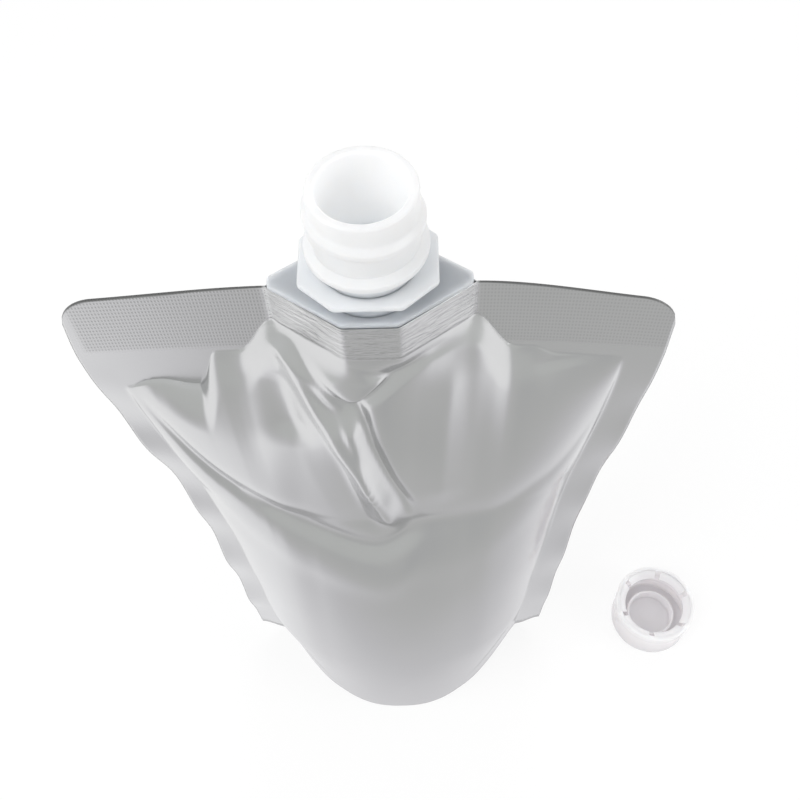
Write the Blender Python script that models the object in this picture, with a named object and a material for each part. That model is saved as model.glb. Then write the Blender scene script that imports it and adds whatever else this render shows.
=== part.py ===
"""Foil laminate stand-up pouch with a welded pouring spout and its screw cap.

Metres, +Z up. The origin is on the floor under the spout, -Y is the front of the pouch.
The pouch is filled and stands on its bottom gusset. The cap is taken off and lies beside it,
closed end down.
"""
import math

import bmesh
import bpy

# Film: front, back and bottom gusset are welded to each other
FILM_WALL = 0.00025
TOP_WIDTH = 0.1552
BASE_WIDTH = 0.119
FILM_TOP = 0.238
WING_DROP = 0.0012
WING_CORNER = 0.008
TOP_SEAL = 0.0255
SIDE_SEAL = 0.0075
LOWER_SEAL = 0.0095
BOTTOM_SEAL = 0.006
GUSSET_DEPTH = 0.040
CORNER_NOTCH = 0.008

# Filled body
BASE_DEPTH = 0.070
BELLY_DEPTH = 0.0740
SHOULDER_DEPTH = 0.0575
CREASE_DEPTH = 0.0410
BELLY_HEIGHT = 0.050
SHOULDER_HEIGHT = 0.124
CREASE_HEIGHT = 0.150
CREASE_RISE = 0.052
PILLOW_PUFF = 0.0035
LEFT_POCKET = 0.011
RIGHT_POCKET = 0.003
LEFT_WING_BEND = 0.0012
RIGHT_WING_BEND = 0.0042
LEFT_EDGE_WAVE = 0.0014
RIGHT_EDGE_WAVE = 0.0006
EDGE_WAVE_LENGTH = 0.044

# Spout: boat, plate, octagonal flange, neck with bead and thread
CLEARANCE = 0.0003
BORE_RADIUS = 0.0102
PLATE_LENGTH = 0.0488
PLATE_DEPTH = 0.0270
PLATE_THICK = 0.0014
PLATE_FRONT_FLAT = 0.0134
PLATE_TIP_FLAT = 0.0030
BOAT_SETBACK = 0.0008
BOAT_HEIGHT = 0.0125
RIB_COUNT = 4
RIB_RELIEF = 0.0005
PLATE_ABOVE_FILM = 0.0006
FLANGE_WIDTH = 0.0324
FLANGE_DEPTH = 0.0286
FLANGE_THICK = 0.0014
FLANGE_FRONT_FLAT = 0.0158
FLANGE_CORNER = 0.0012
FLANGE_LIFT = 0.0057
ROOT_RADIUS = 0.0114
BEAD_RADIUS = 0.0143
BEAD_HEIGHT = 0.0030
BEAD_LIFT = 0.0050
NECK_RADIUS = 0.0123
NECK_RELIEF = 0.0014
THREAD_DEPTH = 0.0014
THREAD_PITCH = 0.0050
THREAD_HALF_WIDTH = 0.0020
THREAD_TURNS = 1.6
THREAD_START = 0.0040
LIP_ROUND = 0.0006

# Cap, lying with its closed end on the floor
CAP_WALL = 0.0013
CAP_TOP_WALL = 0.0014
CAP_TAPER = 0.0004
CAP_ROUND = 0.0012
CAP_THREAD_DEPTH = 0.0010
PLUG_HEIGHT = 0.0052
PLUG_WALL = 0.0010
BAND_HEIGHT = 0.0046
BAND_OVERLAP = 0.0002
BAND_GROOVE = 0.0004
FLAP_COUNT = 6
FLAP_REACH = 0.0024
FLAP_DROP = 0.0026
FLAP_WALL = 0.0007
FLAP_GAP_ANGLE = math.radians(11.0)
FLAP_TURN = math.radians(17.0)
CAP_X = 0.1078
CAP_Y = 0.0015

# Mesh fineness
TURNED_SEGMENTS = 40
SKIRT_ROWS = 3
BODY_ROWS = 24
SEAL_ROWS = 4
GUSSET_STEPS = 8

# Heights that follow from the sizes above
PLATE_BOTTOM = FILM_TOP + PLATE_ABOVE_FILM
BOAT_BOTTOM = PLATE_BOTTOM - BOAT_HEIGHT
FLANGE_BOTTOM = PLATE_BOTTOM + PLATE_THICK + FLANGE_LIFT
BEAD_BOTTOM = FLANGE_BOTTOM + FLANGE_THICK + BEAD_LIFT
THREAD_RISE = THREAD_TURNS * THREAD_PITCH
MOUTH = BEAD_BOTTOM + BEAD_HEIGHT + NECK_RELIEF + THREAD_HALF_WIDTH + THREAD_RISE + THREAD_START
CAP_FREE_HEIGHT = CAP_TOP_WALL + 2 * THREAD_HALF_WIDTH + THREAD_RISE
CAP_HEIGHT = CAP_FREE_HEIGHT + BAND_HEIGHT - BAND_OVERLAP
BAND_BOTTOM = FILM_TOP - TOP_SEAL
MOUTH_DEPTH = PLATE_DEPTH / 2 - BOAT_SETBACK + CLEARANCE
MOUTH_TIP_FLAT = PLATE_TIP_FLAT / 2 - BOAT_SETBACK + CLEARANCE
MOUTH_SHOULDER = PLATE_LENGTH / 2 - BOAT_SETBACK + CLEARANCE
MOUTH_HALF = MOUTH_SHOULDER + MOUTH_TIP_FLAT
MOUTH_FRONT_FLAT = PLATE_FRONT_FLAT / 2
WELD_BOTTOM = BOAT_BOTTOM - CLEARANCE

FRONT = -1
BACK = 1


class Crease:
    """A straight fold in the film, from one (x, z) point to another."""

    def __init__(self, start, end, height, width, tail=0.15):
        self.start = start
        self.end = end
        self.height = height
        self.width = width
        self.tail = tail

    def lift(self, x, z):
        """How far the film stands out at (x, z) because of this fold."""
        run_x = self.end[0] - self.start[0]
        run_z = self.end[1] - self.start[1]
        run = math.hypot(run_x, run_z)
        along = ((x - self.start[0]) * run_x + (z - self.start[1]) * run_z) / (run * run)
        across = ((x - self.start[0]) * run_z - (z - self.start[1]) * run_x) / run
        fade = smooth(along / self.tail) * smooth((1 - along) / self.tail)
        return self.height * fade * math.exp(-abs(across / self.width) ** 1.6)


def smooth(value):
    """Smooth step from 0 to 1."""
    value = min(max(value, 0.0), 1.0)
    return value * value * (3 - 2 * value)


def mix(low, high, share):
    """Straight blend between two values."""
    return low + (high - low) * share


def edge_half(z):
    """Half the width of the pouch across its side welds at a height."""
    rise = (TOP_WIDTH - BASE_WIDTH) / 2
    share = z / BAND_BOTTOM
    return BASE_WIDTH / 2 + rise * (0.53 * min(share, 1.0) + 0.47 * smooth((share - 0.53) / 0.47))


def seal_width(z):
    """Width of the side weld at a height."""
    return mix(LOWER_SEAL, SIDE_SEAL, smooth((z - 2 * GUSSET_DEPTH) / (2 * GUSSET_DEPTH)))


def cavity_half(z):
    """Half the width of the filled space at a height."""
    return edge_half(z) - seal_width(z)


def column_x(s, z):
    """X of a column: |s| up to 1 across the filled space, from 1 to 2 across the side weld."""
    inside = min(abs(s), 1.0) * cavity_half(z)
    weld = max(abs(s) - 1.0, 0.0) * seal_width(z)
    return math.copysign(inside + weld, s)


def weld_line(s):
    """Height of the arched bottom weld, from the floor edge up to the gusset's fold."""
    return mix(BOTTOM_SEAL, GUSSET_DEPTH, min(abs(s), 1.0) ** 2.5)


def band_line(s):
    """Lower edge of the top weld band: it rises round the boat and dips in the corners."""
    tip = MOUTH_HALF / cavity_half(FILM_TOP)
    near_boat = smooth((tip + 0.20 - abs(s)) / 0.20)
    height = mix(BAND_BOTTOM, WELD_BOTTOM, near_boat)
    pocket = LEFT_POCKET if s < 0 else RIGHT_POCKET
    height -= pocket * smooth((abs(s) - 0.58) / 0.08)
    return height - 0.0045 * smooth((abs(s) - 0.88) / 0.12)


def top_line(s):
    """Cut top edge of the film, with the wings' round corners."""
    x = abs(column_x(s, FILM_TOP))
    edge = edge_half(FILM_TOP)
    height = FILM_TOP - WING_DROP * smooth((x - MOUTH_HALF) / (edge - MOUTH_HALF))
    into_corner = x - (edge - WING_CORNER)
    if into_corner > 0:
        height -= WING_CORNER - math.sqrt(max(WING_CORNER ** 2 - into_corner ** 2, 0.0))
    return height


def middle_y(s, z):
    """Place of the film's middle plane: the wings bend and the side welds ripple."""
    x = column_x(s, z)
    reach = max(abs(x) - MOUTH_HALF, 0.0) / (TOP_WIDTH / 2 - MOUTH_HALF)
    bend = LEFT_WING_BEND if s < 0 else RIGHT_WING_BEND
    wing = -bend * reach ** 1.6 * smooth((z - 0.5 * BAND_BOTTOM) / (0.5 * BAND_BOTTOM))
    wave = LEFT_EDGE_WAVE if s < 0 else RIGHT_EDGE_WAVE
    fade = smooth(z / GUSSET_DEPTH) * smooth((BAND_BOTTOM - z) / GUSSET_DEPTH)
    ripple = wave * math.sin(2 * math.pi * z / EDGE_WAVE_LENGTH) * fade
    return wing + ripple * max(abs(s) - 1.0, 0.0)


def mouth_gap(x):
    """Half the opening between the films round the boat."""
    x = abs(x)
    if x <= MOUTH_FRONT_FLAT:
        return MOUTH_DEPTH
    if x <= MOUTH_SHOULDER:
        share = (x - MOUTH_FRONT_FLAT) / (MOUTH_SHOULDER - MOUTH_FRONT_FLAT)
        return mix(MOUTH_DEPTH, MOUTH_TIP_FLAT, share)
    return max(MOUTH_HALF - x, 0.0) / (MOUTH_HALF - MOUTH_SHOULDER) * MOUTH_TIP_FLAT


def centre_depth(z):
    """Half the depth of the filled body on its centre line, below the crease."""
    stations = ((0.0, BASE_DEPTH / 2), (BELLY_HEIGHT, BELLY_DEPTH / 2),
                (SHOULDER_HEIGHT, SHOULDER_DEPTH / 2), (CREASE_HEIGHT, CREASE_DEPTH / 2))
    if z >= CREASE_HEIGHT:
        return CREASE_DEPTH / 2
    slopes = [0.06, 0.0, -0.26, -0.30]
    for index in range(len(stations) - 1):
        (low_z, low_d), (high_z, high_d) = stations[index], stations[index + 1]
        if z <= high_z:
            step = high_z - low_z
            t = (z - low_z) / step
            bend = 2 * t ** 3 - 3 * t ** 2
            return ((bend + 1) * low_d + (t ** 3 - 2 * t ** 2 + t) * step * slopes[index]
                    - bend * high_d + (t ** 3 - t ** 2) * step * slopes[index + 1])
    return CREASE_DEPTH / 2


def belly_gap(s, z):
    """Half gap of the filled body below the crease: pinched at the floor, rounder higher up."""
    round_share = smooth(z / (1.5 * GUSSET_DEPTH))
    power = mix(2.4, 2.0, round_share)
    fullness = mix(1.2, 0.62, round_share)
    return centre_depth(z) * max(1 - min(abs(s), 1.0) ** power, 0.0) ** fullness


def smile_height(x):
    """Height of the curved crease where the upper panel meets the belly."""
    share = min(abs(x) / cavity_half(BAND_BOTTOM), 1.0)
    return CREASE_HEIGHT - 0.014 + CREASE_RISE * share ** 2.6


def front_creases():
    """Folds of the front panel, fanned out from the spout's weld."""
    nose = (0.005, CREASE_HEIGHT - 0.004)
    pinch = (-0.001, WELD_BOTTOM - 0.022)
    left_tip = (-MOUTH_HALF, WELD_BOTTOM + 0.002)
    return (
        Crease(left_tip, nose, 0.0034, 0.0050),
        Crease(pinch, (0.008, nose[1]), -0.0030, 0.0045),
        Crease((-0.008, WELD_BOTTOM), (0.006, WELD_BOTTOM - 0.010), 0.0012, 0.0035),
        Crease(pinch, (MOUTH_HALF, WELD_BOTTOM), -0.0016, 0.0060),
        Crease((0.016, WELD_BOTTOM - 0.008), (0.018, nose[1]), 0.0016, 0.0070),
    )


def back_creases():
    """Two soft folds of the back panel."""
    return (
        Crease((MOUTH_HALF, WELD_BOTTOM), (0.004, CREASE_HEIGHT), 0.0024, 0.0060),
        Crease((-MOUTH_HALF, WELD_BOTTOM), (-0.008, CREASE_HEIGHT), 0.0020, 0.0060),
    )


CREASES = {FRONT: front_creases(), BACK: back_creases()}


def half_gap(side, s, z):
    """Half gap of the filled space at a column and height, on the front or the back."""
    top = band_line(s)
    if abs(s) >= 1 or (z >= top and abs(column_x(s, z)) >= MOUTH_HALF):
        return 0.0
    x = column_x(s, z)
    if z >= top:
        return mouth_gap(x)
    share = max(z - CREASE_HEIGHT, 0.0) / (top - CREASE_HEIGHT)
    gap = mix(belly_gap(s, z), mouth_gap(column_x(s, FILM_TOP)), share)
    gap += PILLOW_PUFF * 4 * share * (1 - share) * math.sqrt(1 - s * s)
    body = smooth((top - z) / 0.012) * (1 - s ** 4)
    valley = smile_height(x)
    gap -= 0.0018 * body * math.exp(-((z - valley) / 0.0065) ** 2)
    gap += 0.0014 * body * math.exp(-((z - valley + 0.014) / 0.0080) ** 2)
    gap -= 0.0028 * body * math.exp(-(x / 0.013) ** 2 - ((z - WELD_BOTTOM + 0.020) / 0.013) ** 2)
    for crease in CREASES[side]:
        gap += body * crease.lift(x, z)
    return max(gap, FILM_WALL)


def column_shares():
    """Columns from the left cut edge to the right one, with one at each corner of the mouth."""
    half_top = cavity_half(FILM_TOP)
    flat, shoulder, tip = (size / half_top for size in (MOUTH_FRONT_FLAT, MOUTH_SHOULDER, MOUTH_HALF))
    half = [0.0, flat]
    half += [mix(flat, shoulder, step / 4) for step in range(1, 5)]
    half.append(tip)
    start = math.asin(tip)
    half += [math.sin(mix(start, math.pi / 2, step / 10)) for step in range(1, 10)]
    half += [1.0, 1.45, 1.8, 2.0]
    return [-share for share in reversed(half[1:])] + half


def row_height(row, s):
    """Height of a row: skirt rows, body rows that crowd upwards, then rows of the top weld."""
    if row <= SKIRT_ROWS:
        return weld_line(s) * row / SKIRT_ROWS
    if row <= SKIRT_ROWS + BODY_ROWS:
        share = (row - SKIRT_ROWS) / BODY_ROWS
        crowd = 1.75 * share - 0.75 * share * share
        return mix(weld_line(s), band_line(s), crowd)
    share = (row - SKIRT_ROWS - BODY_ROWS) / SEAL_ROWS
    return mix(band_line(s), top_line(s), share)


def floor_lift(s):
    """Lift of the bottom edge: the weld's outer corners stand clear of the floor."""
    return CORNER_NOTCH * smooth((abs(s) - 1.0) / 1.0)


class PouchMesh:
    """Builds the welded film: an outer skin, the filled space and the space under the gusset."""

    def __init__(self):
        self.mesh = bmesh.new()
        self.columns = column_shares()
        self.rows = SKIRT_ROWS + BODY_ROWS + SEAL_ROWS
        self.first = self.columns.index(-1.0)
        self.last = self.columns.index(1.0)
        tip = max(share for share in self.columns if column_x(share, FILM_TOP) <= MOUTH_HALF + 1e-9)
        self.tip_right = self.columns.index(tip)
        self.tip_left = self.columns.index(-tip)

    def vertex(self, side, s, z, gap, lift=0.0):
        """A vertex at a column and height, a half gap away from the middle plane."""
        return self.mesh.verts.new((column_x(s, z), middle_y(s, z) + side * gap, z + lift))

    def quad(self, corners, flip):
        """A face from its corners, with repeated corners left out."""
        kept = []
        for corner in corners:
            if corner not in kept:
                kept.append(corner)
        if len(kept) > 2:
            self.mesh.faces.new(reversed(kept) if flip else kept)

    def sheet(self, grid, flip):
        """Faces over a grid of vertices, where an empty place leaves a hole."""
        for low, high in zip(grid, grid[1:]):
            for index in range(len(low) - 1):
                corners = (low[index], low[index + 1], high[index + 1], high[index])
                if None not in corners:
                    self.quad(corners, flip)

    def outer_skin(self, side):
        """Outside of the front or back film."""
        grid = []
        for row in range(self.rows + 1):
            line = []
            for s in self.columns:
                z = row_height(row, s)
                lift = floor_lift(s) * (1 - min(row / SKIRT_ROWS, 1.0))
                line.append(self.vertex(side, s, z, half_gap(side, s, z) + FILM_WALL, lift))
            grid.append(line)
        self.sheet(grid, side == BACK)
        return grid

    def inner_skin(self, side, shared):
        """Inside of the front or back film. The two share the edge of the filled space."""
        grid = []
        for row in range(SKIRT_ROWS, self.rows + 1):
            line = []
            for index, s in enumerate(self.columns):
                in_weld_rows = row > SKIRT_ROWS + BODY_ROWS
                at_weld_row = row >= SKIRT_ROWS + BODY_ROWS
                if index < self.first or index > self.last:
                    line.append(None)
                elif in_weld_rows and not self.tip_left <= index <= self.tip_right:
                    line.append(None)
                else:
                    outside_mouth = not self.tip_left < index < self.tip_right
                    on_edge = index in (self.first, self.last) or (at_weld_row and outside_mouth)
                    if on_edge and (row, index) in shared:
                        line.append(shared[row, index])
                        continue
                    z = row_height(row, s)
                    if row == SKIRT_ROWS:
                        z += FILM_WALL / 2
                    gap = 0.0 if on_edge else half_gap(side, s, z)
                    line.append(self.vertex(side, s, z, gap))
                    if on_edge:
                        shared[row, index] = line[-1]
            grid.append(line)
        self.sheet(grid, side == FRONT)
        return grid

    def skirt_skin(self, side, shared):
        """Inner face of the skirt that the gusset is welded to, down to the floor."""
        grid = []
        for row in range(SKIRT_ROWS + 1):
            line = []
            for index in range(self.first, self.last + 1):
                s = self.columns[index]
                on_edge = index in (self.first, self.last)
                if on_edge and (row, index) in shared:
                    line.append(shared[row, index])
                    continue
                z = row_height(row, s)
                if row == SKIRT_ROWS:
                    z -= FILM_WALL / 2
                gap = 0.0 if on_edge else max(half_gap(side, s, z) - FILM_WALL, FILM_WALL)
                line.append(self.vertex(side, s, z, gap))
                if on_edge:
                    shared[row, index] = line[-1]
            grid.append(line)
        self.sheet(grid, side == FRONT)
        return grid

    def gusset(self, front_edge, back_edge, level, flip):
        """A face of the gusset film, between its front and back weld lines."""
        grid = [front_edge]
        for step in range(1, GUSSET_STEPS):
            line = []
            for offset, index in enumerate(range(self.first, self.last + 1)):
                s = self.columns[index]
                if index in (self.first, self.last):
                    line.append(front_edge[offset])
                    continue
                across = 2 * step / GUSSET_STEPS - 1
                height = weld_line(s)
                low = height * smooth((abs(s) - 0.5) / 0.5)
                curl = max((abs(across) - 0.4) / 0.6, 0.0) ** 2.2
                near, far = front_edge[offset].co, back_edge[offset].co
                y = mix(near.y, far.y, (across + 1) / 2)
                z = FILM_WALL / 2 + mix(low, height, curl) * (1 - FILM_WALL / height) + level
                line.append(self.mesh.verts.new((near.x, y, z)))
            grid.append(line)
        grid.append(back_edge)
        self.sheet(grid, flip)

    def rim(self, near, far, flip):
        """A strip of faces between two lines of vertices."""
        self.sheet([near, far], flip)

    def build(self):
        """All the faces of the pouch, as one closed solid."""
        outer = {side: self.outer_skin(side) for side in (FRONT, BACK)}
        shared = {}
        inner = {side: self.inner_skin(side, shared) for side in (FRONT, BACK)}
        under = {}
        skirt = {side: self.skirt_skin(side, under) for side in (FRONT, BACK)}
        span = slice(self.first, self.last + 1)
        self.gusset(inner[FRONT][0][span], inner[BACK][0][span], FILM_WALL / 2, False)
        self.gusset(skirt[FRONT][-1], skirt[BACK][-1], -FILM_WALL / 2, True)
        mouth = slice(self.tip_left, self.tip_right + 1)
        left, right = slice(0, self.tip_left + 1), slice(self.tip_right, len(self.columns))
        left_fin, right_fin = slice(0, self.first + 1), slice(self.last, len(self.columns))
        for side in (FRONT, BACK):
            self.rim(outer[side][-1][mouth], inner[side][-1][mouth], side == BACK)
            self.rim(outer[side][0][span], skirt[side][0], side == FRONT)
        for part in (left, right):
            self.rim(outer[FRONT][-1][part], outer[BACK][-1][part], False)
        for part in (left_fin, right_fin):
            self.rim(outer[FRONT][0][part], outer[BACK][0][part], True)
        for edge, flip in ((0, True), (-1, False)):
            near = [line[edge] for line in outer[FRONT]]
            far = [line[edge] for line in outer[BACK]]
            self.rim(near, far, flip)
        for corner, fin_edge in ((self.tip_left, -1), (self.tip_right, 0)):
            wing = left if corner == self.tip_left else right
            front, back = outer[FRONT][-1][wing][fin_edge], outer[BACK][-1][wing][fin_edge]
            top = shared[self.rows, corner]
            self.quad((front, back, top), corner == self.tip_right)
        for corner in (self.first, self.last):
            front, back = outer[FRONT][0][corner], outer[BACK][0][corner]
            self.quad((front, back, under[0, corner]), corner == self.first)
        bmesh.ops.recalc_face_normals(self.mesh, faces=self.mesh.faces)
        return self.mesh


def material(name, color, roughness, metallic):
    """A plain Principled finish."""
    finish = bpy.data.materials.new(name)
    finish.use_nodes = True
    shader = finish.node_tree.nodes["Principled BSDF"]
    shader.inputs["Base Color"].default_value = (*color, 1.0)
    shader.inputs["Roughness"].default_value = roughness
    shader.inputs["Metallic"].default_value = metallic
    finish.diffuse_color = (*color, 1.0)
    return finish


def add_object(name, mesh, finish, smooth_angle=35.0):
    """Turn a bmesh into a shaded object in the scene."""
    data = bpy.data.meshes.new(name)
    mesh.to_mesh(data)
    mesh.free()
    data.materials.append(finish)
    data.shade_smooth()
    data.set_sharp_from_angle(angle=math.radians(smooth_angle))
    part = bpy.data.objects.new(name, data)
    bpy.context.collection.objects.link(part)
    return part


def loft(rings, closed=False):
    """A closed solid through rings of equally many points. Ends are capped unless closed."""
    mesh = bmesh.new()
    loops = [[mesh.verts.new(point) for point in ring] for ring in rings]
    pairs = list(zip(loops, loops[1:]))
    if closed:
        pairs.append((loops[-1], loops[0]))
    for low, high in pairs:
        for index in range(len(low)):
            after = (index + 1) % len(low)
            mesh.faces.new((low[index], low[after], high[after], high[index]))
    if not closed:
        mesh.faces.new(reversed(loops[0]))
        mesh.faces.new(loops[-1])
    bmesh.ops.recalc_face_normals(mesh, faces=mesh.faces)
    return mesh


def circle(radius, z, x=0.0, y=0.0):
    """A ring of points round a vertical axis."""
    turn = 2 * math.pi / TURNED_SEGMENTS
    return [(x + radius * math.cos(turn * k), y + radius * math.sin(turn * k), z)
            for k in range(TURNED_SEGMENTS)]


def octagon(half_x, half_y, flat_x, flat_y, z):
    """An eight-sided ring: flat_x is half the front flat, flat_y is half the side flat."""
    right = [(half_x, -flat_y), (half_x, flat_y), (flat_x, half_y)]
    points = right + [(-x, y) for x, y in reversed(right)]
    points = [(flat_x, -half_y)] + points + [(-flat_x, -half_y)]
    return [(x, y, z) for x, y in points]


def boat_ring(inset, z):
    """The boat's pointed outline, set back from the plate above it."""
    back = BOAT_SETBACK + inset
    return octagon(PLATE_LENGTH / 2 - back, PLATE_DEPTH / 2 - back, PLATE_FRONT_FLAT / 2,
                   PLATE_TIP_FLAT / 2 - BOAT_SETBACK, z)


def boat_solid():
    """The boat with level ribs that bite into the welded film, up to the plate's middle."""
    pitch = BOAT_HEIGHT / RIB_COUNT
    rings = []
    for rib in range(RIB_COUNT):
        low = BOAT_BOTTOM + rib * pitch
        rings.append(boat_ring(RIB_RELIEF, low))
        rings.append(boat_ring(0.0, low + 0.25 * pitch))
        rings.append(boat_ring(0.0, low + 0.65 * pitch))
        rings.append(boat_ring(RIB_RELIEF, low + 0.9 * pitch))
    rings.append(boat_ring(RIB_RELIEF, PLATE_BOTTOM + PLATE_THICK / 2))
    return loft(rings)


def plate_solid():
    """The flat plate over the film's top edge."""
    size = (PLATE_LENGTH / 2, PLATE_DEPTH / 2, PLATE_FRONT_FLAT / 2, PLATE_TIP_FLAT / 2)
    return loft([octagon(*size, PLATE_BOTTOM), octagon(*size, PLATE_BOTTOM + PLATE_THICK)])


def flange_solid():
    """The eight-sided flange that the filling machine grips, with softened corners."""
    flat_x = FLANGE_FRONT_FLAT / 2
    flat_y = flat_x * FLANGE_DEPTH / FLANGE_WIDTH
    ring = octagon(FLANGE_WIDTH / 2, FLANGE_DEPTH / 2, flat_x, flat_y, FLANGE_BOTTOM)
    rounded = []
    for index, corner in enumerate(ring):
        for other in (ring[index - 1], ring[(index + 1) % len(ring)]):
            run = math.dist(corner, other)
            share = FLANGE_CORNER / run
            rounded.append(tuple(mix(a, b, share) for a, b in zip(corner, other)))
    top = [(x, y, FLANGE_BOTTOM + FLANGE_THICK) for x, y, _ in rounded]
    return loft([rounded, top])


def thread_lift(angle, height, start):
    """Share of the thread's height at a turn angle and a distance along the neck."""
    turn = angle / (2 * math.pi)
    best = 0.0
    for lap in range(-1, int(THREAD_TURNS) + 2):
        run = turn + lap
        if 0 <= run <= THREAD_TURNS:
            ends = smooth(run / 0.12) * smooth((THREAD_TURNS - run) / 0.12)
            off = abs(height - start - run * THREAD_PITCH) / THREAD_HALF_WIDTH
            best = max(best, ends * smooth(1.9 * (1 - off)))
    return best


def neck_solid():
    """The neck: root, bead, wall with the thread and a rounded lip."""
    def ring(radius, z):
        return circle(radius, z)

    rings = [ring(ROOT_RADIUS, BOAT_BOTTOM + BOAT_HEIGHT / 2)]
    rings.append(ring(ROOT_RADIUS, BEAD_BOTTOM - 0.0008))
    rings.append(ring(BEAD_RADIUS - 0.0004, BEAD_BOTTOM))
    rings.append(ring(BEAD_RADIUS, BEAD_BOTTOM + 0.0006))
    rings.append(ring(BEAD_RADIUS, BEAD_BOTTOM + BEAD_HEIGHT - 0.0010))
    rings.append(ring(NECK_RADIUS, BEAD_BOTTOM + BEAD_HEIGHT))
    steps = 16
    low = BEAD_BOTTOM + BEAD_HEIGHT
    high = MOUTH - LIP_ROUND
    turn = 2 * math.pi / TURNED_SEGMENTS
    for step in range(1, steps):
        z = mix(low, high, step / steps)
        points = []
        for k in range(TURNED_SEGMENTS):
            share = thread_lift(turn * k, MOUTH - z, THREAD_START)
            radius = NECK_RADIUS + THREAD_DEPTH * share
            points.append((radius * math.cos(turn * k), radius * math.sin(turn * k), z))
        rings.append(points)
    rings.append(ring(NECK_RADIUS, high))
    rings.append(ring(NECK_RADIUS - LIP_ROUND, MOUTH))
    return loft(rings)


def bore_solid():
    """What is cut out of the spout: a straight bore with a softened lip."""
    return loft([circle(BORE_RADIUS, BOAT_BOTTOM - 0.002), circle(BORE_RADIUS, MOUTH - LIP_ROUND),
                 circle(BORE_RADIUS + LIP_ROUND, MOUTH + 0.001)])


def combine(target, tool, operation):
    """Apply an exact Boolean of one object to another and drop the tool."""
    modifier = target.modifiers.new(operation.title(), "BOOLEAN")
    modifier.operation = operation
    modifier.solver = "EXACT"
    modifier.object = tool
    graph = bpy.context.evaluated_depsgraph_get()
    result = bpy.data.meshes.new_from_object(target.evaluated_get(graph))
    target.modifiers.remove(modifier)
    target.data = result
    bpy.data.objects.remove(tool, do_unlink=True)


def finish_faces(part, smooth_angle=35.0):
    """Shade a combined solid again and merge the points that a cut left on each other."""
    mesh = bmesh.new()
    mesh.from_mesh(part.data)
    bmesh.ops.remove_doubles(mesh, verts=mesh.verts, dist=0.000002)
    bmesh.ops.dissolve_degenerate(mesh, edges=mesh.edges, dist=0.000002)
    mesh.to_mesh(part.data)
    mesh.free()
    part.data.shade_smooth()
    part.data.set_sharp_from_angle(angle=math.radians(smooth_angle))


def build_spout(finish):
    """The spout, moulded in one piece."""
    spout = add_object("spout", boat_solid(), finish)
    for solid in (plate_solid(), flange_solid(), neck_solid()):
        combine(spout, add_object("added", solid, finish), "UNION")
    combine(spout, add_object("bore", bore_solid(), finish), "DIFFERENCE")
    finish_faces(spout)
    return spout


def cap_inner_radius():
    """Inside of the cap's skirt, over the neck's bead."""
    return BEAD_RADIUS + CLEARANCE


def cap_wall_solid():
    """Skirt, closed end and plug ring of the cap, as one turned shape with its thread inside."""
    inner = cap_inner_radius()
    outer = inner + CAP_WALL
    foot = outer + CAP_TAPER
    plug = BORE_RADIUS - CLEARANCE
    band = CAP_HEIGHT - BAND_HEIGHT
    turn = 2 * math.pi / TURNED_SEGMENTS
    profile = [(outer - CAP_ROUND, 0.0), (outer - 0.3 * CAP_ROUND, 0.3 * CAP_ROUND),
               (outer, CAP_ROUND), (outer, band - BAND_GROOVE), (outer - BAND_GROOVE, band),
               (foot, band + BAND_GROOVE), (foot, CAP_HEIGHT - 0.0006),
               (foot - 0.0006, CAP_HEIGHT), (inner + 0.0004, CAP_HEIGHT),
               (inner, CAP_HEIGHT - 0.0004)]
    rings = [circle(radius, z, CAP_X, CAP_Y) for radius, z in profile]
    steps = 12
    for step in range(steps + 1):
        z = mix(band, CAP_TOP_WALL, step / steps)
        points = []
        for k in range(TURNED_SEGMENTS):
            share = thread_lift(turn * k, z, CAP_TOP_WALL + THREAD_HALF_WIDTH)
            radius = inner - CAP_THREAD_DEPTH * share
            points.append((CAP_X + radius * math.cos(turn * k),
                           CAP_Y + radius * math.sin(turn * k), z))
        rings.append(points)
    top = CAP_TOP_WALL + PLUG_HEIGHT
    for radius, z in ((plug, CAP_TOP_WALL), (plug, top - 0.0005), (plug - 0.0004, top),
                      (plug - PLUG_WALL, top), (plug - PLUG_WALL, CAP_TOP_WALL)):
        rings.append(circle(radius, z, CAP_X, CAP_Y))
    return loft(rings)


def flap_solid(start, end):
    """One flap of the tamper band, folded in under the neck's bead."""
    steps = max(3, round((end - start) / (2 * math.pi / TURNED_SEGMENTS)))
    inner = cap_inner_radius()
    top = CAP_HEIGHT - 0.0008
    section = ((inner + 0.5 * CAP_WALL, top), (inner - 0.2 * FLAP_REACH, top),
               (inner - FLAP_REACH, top - FLAP_DROP), (inner - FLAP_REACH, top - FLAP_DROP - FLAP_WALL),
               (inner, top - 2 * FLAP_WALL), (inner + 0.5 * CAP_WALL, top - 2 * FLAP_WALL))
    rings = []
    for step in range(steps + 1):
        angle = mix(start, end, step / steps)
        rings.append([(CAP_X + radius * math.cos(angle), CAP_Y + radius * math.sin(angle), z)
                      for radius, z in section])
    return loft(rings)


def build_cap(finish):
    """The cap, moulded in one piece with its tamper band."""
    cap = add_object("cap", cap_wall_solid(), finish)
    pitch = 2 * math.pi / FLAP_COUNT
    for index in range(FLAP_COUNT):
        start = FLAP_TURN + index * pitch + FLAP_GAP_ANGLE / 2
        flap = add_object("flap", flap_solid(start, start + pitch - FLAP_GAP_ANGLE), finish)
        combine(cap, flap, "UNION")
    finish_faces(cap)
    return cap


def main():
    """Clear the scene and model the three pieces."""
    for old in list(bpy.data.objects):
        bpy.data.objects.remove(old, do_unlink=True)
    foil = material("foil_laminate", (0.74, 0.74, 0.76), 0.30, 1.0)
    milky = material("milky_polyethylene", (0.86, 0.88, 0.90), 0.32, 0.0)
    white = material("white_polyethylene", (0.90, 0.89, 0.91), 0.25, 0.0)
    add_object("pouch", PouchMesh().build(), foil, 60.0)
    build_spout(milky)
    build_cap(white)


main()
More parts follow.
